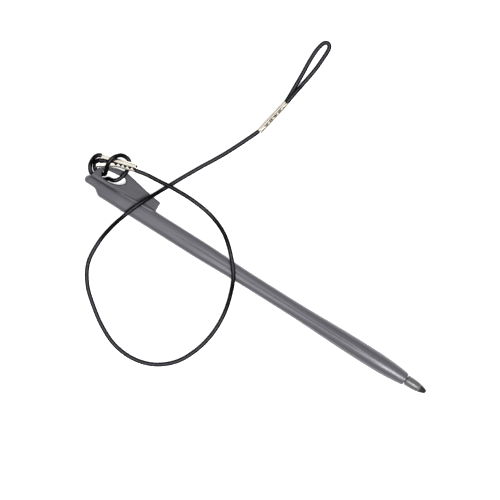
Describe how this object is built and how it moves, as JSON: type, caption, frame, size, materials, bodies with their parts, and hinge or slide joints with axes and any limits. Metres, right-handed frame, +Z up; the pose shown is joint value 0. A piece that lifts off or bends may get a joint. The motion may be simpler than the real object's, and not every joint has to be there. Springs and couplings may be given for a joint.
{
  "type": "tethered stylus",
  "caption": "Slim waisted plastic stylus with a conical nib, a side lug with an eye, and an elastic tether cord hitched to it and ending in a crimped loop.",
  "frame": {"origin": "on the barrel's flat underside, below the barrel's axis, at the stylus's mid length", "axes": "+X along the barrel towards the nib, +Y towards the side lug, +Z up, away from the surface the stylus lies on"},
  "size_m": [0.1268, 0.1166, 0.0066],
  "materials": {
    "barrel_plastic": "fine satin moulding, mid grey",
    "nib_plastic": "smooth grey",
    "point_plastic": "black",
    "crimp_metal": "bright nickel plate",
    "cord_sheath": "black braided sheath over a rubber core"
  },
  "bodies": {
    "stylus": {"barrel": "barrel_plastic", "near_crimp": "crimp_metal", "far_crimp": "crimp_metal", "cord_near_loop": "cord_sheath", "cord_tail": "cord_sheath", "cord_run": "cord_sheath", "cord_far_loop": "cord_sheath"},
    "nib_insert": {"nib": "nib_plastic", "nib_point": "point_plastic"}
  },
  "joints": [
    {"name": "nib_pull", "type": "slide", "parent": "stylus", "child": "nib_insert", "axis": [1, 0, 0], "range_m": [0, 0.009]}
  ]
}
